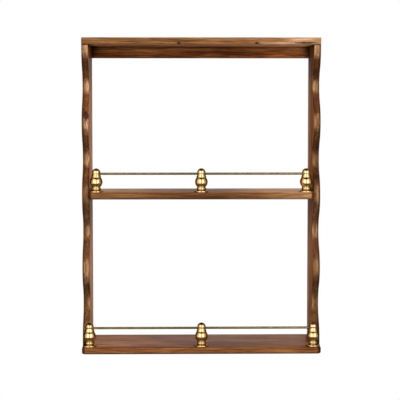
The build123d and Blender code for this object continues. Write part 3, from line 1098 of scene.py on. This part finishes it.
clear = put(tree, "BsdfTransparent").outputs[0]
paint = put(tree, "MixShader", {0: underneath, 1: paint, 2: clear}).outputs[0]
tree.links.new(paint, tree.nodes["Material Output"].inputs[0])
floor.data.materials.append(floor_paint)
print("the floor fades from", FADE_FROM, "to", round(FADE_TO, 3), "m")

# %% [markdown]
# ## World
# Camera, glossy and transmitted rays see the world as plain white, like the photograph's background. All
# other rays get a dim warm light from it, so the softboxes can shape the shelf.

# %% World
AMBIENT = 0.25
world = bpy.data.worlds.new("studio")
scene.world = world
world.use_nodes = True
sky = world.node_tree
ray = put(sky, "LightPath").outputs
seen = maths(sky, "MAXIMUM", ray["Is Camera Ray"], ray["Is Glossy Ray"])
seen = maths(sky, "MAXIMUM", seen, ray["Is Transmission Ray"])
dim = put(sky, "Background", {"Color": (1, 0.98, 0.95, 1), "Strength": AMBIENT})
white = put(sky, "Background", {"Color": grey(1), "Strength": 1.0})
both = put(sky, "MixShader", {0: seen, 1: dim.outputs[0], 2: white.outputs[0]})
sky.links.new(both.outputs[0], sky.nodes["World Output"].inputs[0])
print("world light", AMBIENT)

# %% [markdown]
# ## Cards for the brass
# Polished metal has no shading of its own: it shows what stands round it, and in an all-white room it would
# vanish. So a photographer stands cards round it. A card here is a plane that glows, with a faint mottle, and
# only reflections see it.

# %% Card recipe
CARD_DARK = (0.036, 0.016, 0.003)
CARD_LOW = (0.11, 0.075, 0.03)
CARD_GREY = (0.36, 0.32, 0.26)
CARD_LEFT = (0.76, 0.57, 0.30)
CARD_RIGHT = (0.52, 0.39, 0.20)
CARD_PALE = (0.95, 0.93, 0.90)
CARD_BRIGHT = (1.75, 1.72, 1.66)
CARD_MOTTLE = 1.2
UPRIGHT = (math.pi / 2, 0, 0)
SIDEWAYS = (math.pi / 2, 0, math.pi / 2)
FLAT = (0, 0, 0)
FRONT_AZIMUTH = 29
FLANK_AZIMUTH = 70
CARD_REACH = 1.9
ABOVE_FLOOR = 5 * MM


def card(name, spot, turn, width, height, colour):
    """A flat card of a set brightness that only reflections see."""
    start_clean()
    bpy.ops.mesh.primitive_plane_add(size=1, location=spot, rotation=turn)
    piece = bpy.context.object
    piece.name = name
    piece.scale = (width, height, 1)
    settle(piece)
    paper, tree, _, place = new_material(f"{name}_paper")
    tone = put(tree, "TexNoise", {"Vector": place, "Scale": 3}).outputs[0]
    paler = [CARD_MOTTLE * channel for channel in colour]
    mottled = blend_colour(tree, tone, (*colour, 1), (*paler, 1))
    glow = put(tree, "Emission", {"Color": mottled, "Strength": 1.0}).outputs[0]
    tree.links.new(glow, tree.nodes["Material Output"].inputs[0])
    piece.data.materials.append(paper)
    for ray in ("camera", "diffuse", "transmission", "shadow"):
        setattr(piece, f"visible_{ray}", False)
    return piece


def round_card(name, azimuth, width, height, lift, colour):
    """An upright card that faces the shelf from a given direction, measured from the front."""
    angle = math.radians(azimuth)
    spot = (CARD_REACH * math.sin(angle), -CARD_REACH * math.cos(angle), lift)
    return card(name, spot, (math.pi / 2, 0, angle), width, height, colour)


print("round cards keep", CARD_REACH, "m away")

# %% [markdown]
# ## Where the cards stand
# They are dark at the sides and above, warm and dark below, grey in front and pale behind. Two bright ones in
# front give the streaks down the posts, and golden ones at the flanks fill the turn of the belly.

# %% Stand the cards
cards = [
    card("low_card", (0, 0, floor_level + ABOVE_FLOOR), FLAT, 3.0, 3.0, CARD_LOW),
    card("high_card", (0, 0, 3.4), FLAT, 6.0, 6.8, CARD_DARK),
    card("front_card", (0, -3.4, 0.4), UPRIGHT, 3.4, 4.0, CARD_GREY),
    card("front_high_card", (0, -3.3, 2.6), UPRIGHT, 6.0, 1.8, CARD_DARK),
    card("back_card", (0.4, 2.8, -0.7), UPRIGHT, 1.8, 3.2, CARD_PALE),
    card("back_dark_card", (0, 3.0, 0.4), UPRIGHT, 6.0, 6.0, CARD_DARK),
]
for side, way, golden in (("left", -1, CARD_LEFT), ("right", 1, CARD_RIGHT)):
    cards += [
        card(f"{side}_card", (way * CARD_REACH, 1.6, -0.2), SIDEWAYS, 3.4, 4.0, CARD_DARK),
        round_card(f"{side}_front_card", way * FRONT_AZIMUTH, 1.5, 2.7, 0.2, CARD_BRIGHT),
        round_card(f"{side}_flank_card", way * FLANK_AZIMUTH, 1.4, 3.6, 0.4, golden),
    ]
print("cards:", [piece.name for piece in cards])

# %% [markdown]
# ## Softboxes
# One large softbox above and in front lights the shelf, and weak ones at both sides and behind keep the far
# faces from going black. The brass doesn't mirror them, because the bright cards give it cleaner streaks.

# %% Softboxes
LAMP_COLOUR = (1, 0.97, 0.93)
object_centre = (Vector(cad_box[0]) + Vector(cad_box[1])) / 2


def softbox(name, spot, width, height, watts):
    """A rectangular light that faces the middle of the shelf."""
    lamp = bpy.data.lights.new(name, "AREA")
    lamp.shape = "RECTANGLE"
    lamp.size = width
    lamp.size_y = height
    lamp.energy = watts
    lamp.color = LAMP_COLOUR
    holder = bpy.data.objects.new(name, lamp)
    holder.location = spot
    holder.rotation_euler = (object_centre - Vector(spot)).to_track_quat("-Z", "Y").to_euler()
    holder.visible_camera = False
    holder.visible_glossy = False
    scene.collection.objects.link(holder)
    return holder


lamps = [
    softbox("top_softbox", (0.0, -1.05, 1.25), 0.9, 0.6, watts=25),
    softbox("left_softbox", (-1.7, -0.3, 0.5), 0.8, 0.8, watts=3.5),
    softbox("right_softbox", (1.7, -0.3, 0.5), 0.8, 0.8, watts=6),
    softbox("back_softbox", (0.0, 1.7, 0.6), 0.8, 0.8, watts=7),
]
print("softboxes:", {holder.name: holder.data.energy for holder in lamps})

# %% [markdown]
# ## Camera
# The photograph was taken from a little left of the middle and above it, from about 1.8 m away through a long
# lens. Turning the camera gives nearly all of the framing, and a small shift keeps the uprights upright.

# %% Camera
CAMERA_PLACE = (-31.9 * MM, -1.8, -78.6 * MM)
CAMERA_PITCH = 3.255
CAMERA_YAW = 1.0
CAMERA_SENSOR = 36
CAMERA_LENS = 112.2
CAMERA_SHIFT = -0.05
camera_data = bpy.data.cameras.new("camera")
camera_data.sensor_width = CAMERA_SENSOR
camera_data.lens = CAMERA_LENS
camera_data.shift_y = CAMERA_SHIFT
camera = bpy.data.objects.new("camera", camera_data)
camera.location = CAMERA_PLACE
camera.rotation_euler = (math.radians(90 - CAMERA_PITCH), 0, math.radians(-CAMERA_YAW))
scene.collection.objects.link(camera)
scene.camera = camera
print("camera lens", CAMERA_LENS, "mm, pitch", CAMERA_PITCH, "degrees")
